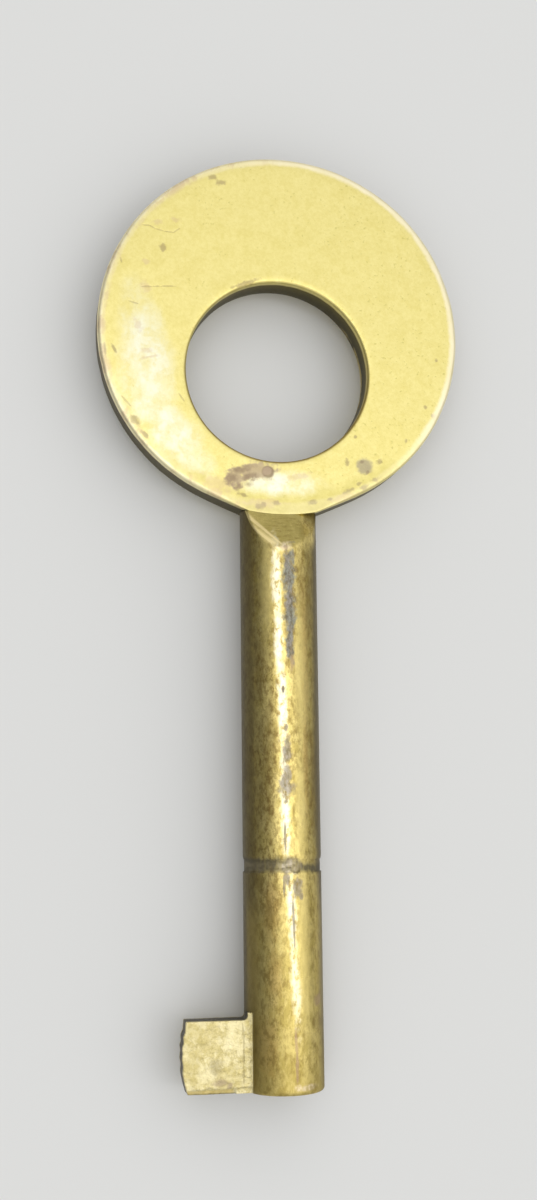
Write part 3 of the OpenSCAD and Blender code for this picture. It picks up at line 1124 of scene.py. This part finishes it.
bitShape = {
    "footX": -3.4,           # outer side of the foot
    "footOver": 0.65,
    "fillet": 0.3,
    "filletSteps": 6,
    "wornEdge": [
        (-8.8, 6.2), (-8.85, 5.3), (-9.04, 4.9), (-9.0, 4.4), (-9.14, 4.0), (-9.08, 3.5),
        (-9.15, 3.0), (-9.04, 2.4), (-9.1, 1.9), (-8.94, 1.0), (-8.65, 0.0),
    ],
    "voxel": 0.07,
    "smoothing": 5,
    "sharpAngle": 70,
    "hammeredFrom": -3.0,    # the face is hammered to the left of this
    "hammer": 0.04,
    "hammerSize": 1.1,
    "hammerShare": 0.6,
    "fineSize": 0.4,
    "fineShare": 0.4,
    "chipHeight": 0.55,      # the chipped lower edge of the front face
    "chipDepth": 0.28,
    "chipSize": 0.8,
    "chipUnevenness": 0.5,
    "chipSeed": 5,
    "chipFloor": 0.3,        # height from which the chip deepens towards the front
    "chipSpan": 0.6,
    "ledgeX": -4.5,          # the ledge that is left of it beside the barrel
    "ledgeDepth": 0.09,
    "ledgeSteepness": 6,
}


def makeBit(shape, material):
    low, high = boxOf("bit")
    fillet = shape["fillet"]
    centre = (shape["footX"] - fillet, high.y - shape["footOver"] + fillet)
    curve = arcPoints(centre, fillet, 0, -90, shape["filletSteps"])
    outline = [(high.x, 0.0), (high.x, high.y), (shape["footX"], high.y)] + curve + shape["wornEdge"]
    count = len(outline)
    rows = [[(x, y, z) for x, y in outline] for z in (low.z, high.z)]
    points, faces = skin(rows)
    faces += [tuple(range(count)), tuple(range(count, 2 * count))]
    piece = newPiece("bitSkin", points, faces)
    edit(piece, lambda work: bmesh.ops.recalc_face_normals(work, faces=work.faces))
    mesher = piece.modifiers.new("even", "REMESH")
    mesher.mode = "VOXEL"
    mesher.voxel_size = shape["voxel"]
    softener = piece.modifiers.new("worn", "SMOOTH")
    softener.iterations = shape["smoothing"]
    applyModifiers(piece)

    def chip(x, y, z):  # how far the front face lies lower near its bottom edge
        uneven = shape["chipUnevenness"] * wave(x, 0, shape["chipSeed"], shape["chipSize"])
        share = max(0.0, 1 - y / (shape["chipHeight"] * (1 + uneven)))
        depth = shape["chipDepth"] * share
        if x > shape["ledgeX"]:
            depth = shape["ledgeDepth"] * min(1.0, share * shape["ledgeSteepness"])
        return depth * max(0.0, min(1.0, (z - shape["chipFloor"]) / shape["chipSpan"]))

    normals = [vertex.normal.copy() for vertex in piece.data.vertices]
    for vertex, normal in zip(piece.data.vertices, normals):
        x, y, z = vertex.co
        if x < shape["hammeredFrom"]:
            hammered = shape["hammerShare"] * (wave(x, y, z, shape["hammerSize"]) - 1)
            hammered += shape["fineShare"] * wave(x, y, z, shape["fineSize"])
            vertex.co = vertex.co + normal * shape["hammer"] * hammered - Vector((0, 0, chip(x, y, z)))
    finishPiece(piece, "bit", material, shape["sharpAngle"])


# Making the key

bowMaterial = makeBowFinish(bowFinish)
stemMaterial = makeStemFinish("stemBrass", "stem_brass", stemFinish, solderBand)
solderMaterial = makeStemFinish("darkSolder", "solder", stemFinish, solderBand)
bitMaterial = makeBitFinish(bitFinish)
makeBow(bowShape, bowMaterial)
makeStem(stemShape, stemMaterial)
makeSolderRing(ringShape, solderMaterial)
makeBarrel(barrelShape, stemMaterial)
makeBit(bitShape, bitMaterial)

# Floor, light and camera

studio = {
    "floorColour": colour(222, 222, 220),
    "floorSize": 1600,
    "overhead": colour(255, 255, 255),
    "horizon": colour(178, 179, 180),
    "leftShade": colour(176, 178, 180),
    "brightening": (0.0, 0.65),    # from the horizon to where the sky is as bright as overhead
    "bowSide": (0.3, 1.0),         # the sky is a little brighter towards the bow
    "bowSideShare": 0.16,
    "leftSide": (-0.25, -0.8),
}


def makeFloor(look):
    half = look["floorSize"] / 2
    z = boxOf("stem")[0].z
    corners = [(-half, -half, z), (half, -half, z), (half, half, z), (-half, half, z)]
    floor = newPiece("floor", corners, [(0, 1, 2, 3)])
    floor.data.transform(Matrix.Scale(toMetres, 4))
    material, graph = newFinish("floorPaint", "")
    surface = graph.node("BsdfDiffuse", {}, {"Color": look["floorColour"]})
    graph.node("OutputMaterial", {}, {"Surface": surface})
    floor.data.materials.append(material)
    print("floor laid")


def makeSky(look):  # bright overhead, dimmer towards the horizon and on the left, as in a small studio
    world = bpy.data.worlds.new("studioSky")
    bpy.context.scene.world = world
    world.use_nodes = True
    graph = Graph(world.node_tree)
    direction = graph.node("TexCoord", output="Generated")
    across, towardBow, height = [graph.node("SeparateXYZ", {}, {0: direction}, axis) for axis in "XYZ"]
    lightness = height + towardBow.rise(*look["bowSide"]) * look["bowSideShare"]
    sky = graph.mix(lightness.rise(*look["brightening"]), look["horizon"], look["overhead"])
    shading = {0: across.rise(*look["leftSide"]), 6: sky, 7: look["leftShade"]}
    shaded = graph.node("Mix", {"data_type": "RGBA", "blend_type": "MULTIPLY"}, shading, output=2)
    glow = graph.node("Background", {}, {"Color": shaded, "Strength": 1.0})
    graph.node("OutputWorld", {}, {"Surface": glow})
    print("sky made")


lamps = {  # tilts in degrees from straight up, towards +X and +Y; sizes along and across
    "stripBox": {
        "tilt": (8.5, 0),
        "distance": 1000,
        "size": (1250, 150),
        "along": (-0.95, 0.31),
        "brightness": 1.8,
    },
    "softPanel": {
        "tilt": (19, -7),
        "distance": 1000,
        "size": (2600, 500),
        "along": (-0.93, 0.37),
        "brightness": 0.3,
    },
}


def hang(name, data, place, axes, roll=0.0):  # a lamp or camera, facing away from the last axis
    thing = bpy.data.objects.new(name, data)
    turn = Matrix(axes).transposed().to_4x4()
    spin = Matrix.Rotation(math.radians(roll), 4, "Z")
    thing.matrix_world = Matrix.Translation(place * toMetres) @ turn @ spin
    bpy.context.scene.collection.objects.link(thing)
    return thing


def makeLamp(name, lamp):
    target = Vector((0, 30, 0))  # a place on the stem
    toRight, toBow = (math.tan(math.radians(angle)) for angle in lamp["tilt"])
    away = Vector((toRight, toBow, 1)).normalized()
    side = away.cross(Vector((*lamp["along"], 0))).normalized()
    light = bpy.data.lights.new(name, "AREA")
    light.shape = "RECTANGLE"
    light.size, light.size_y = (length * toMetres for length in lamp["size"])
    light.energy = lamp["brightness"] * math.pi * light.size * light.size_y
    hang(name, light, target + away * lamp["distance"], (side.cross(away), side, away))
    print("lamp", name, "hung")


cameraSetting = {
    "place": (-23.94, 24.09, 133.6),
    "lookAt": (-0.94, 43.19, 0.0),
    "roll": -0.65,           # degrees
    "lens": 45.0,
    "sensor": 36.0,
    "nearest": 5,
    "farthest": 20000,
}


def makeCamera(setting):
    view = bpy.data.cameras.new("photoView")
    view.lens = setting["lens"]
    view.sensor_width = setting["sensor"]
    view.clip_start = setting["nearest"] * toMetres
    view.clip_end = setting["farthest"] * toMetres
    place = Vector(setting["place"])
    back = (place - Vector(setting["lookAt"])).normalized()
    right = Vector((0, 1, 0)).cross(back).normalized()
    axes = (right, back.cross(right), back)
    bpy.context.scene.camera = hang("photoView", view, place, axes, setting["roll"])
    print("camera set")


makeFloor(studio)
makeSky(studio)
for lampName, lamp in lamps.items():
    makeLamp(lampName, lamp)
makeCamera(cameraSetting)
bpy.context.scene.view_settings.view_transform = "Standard"
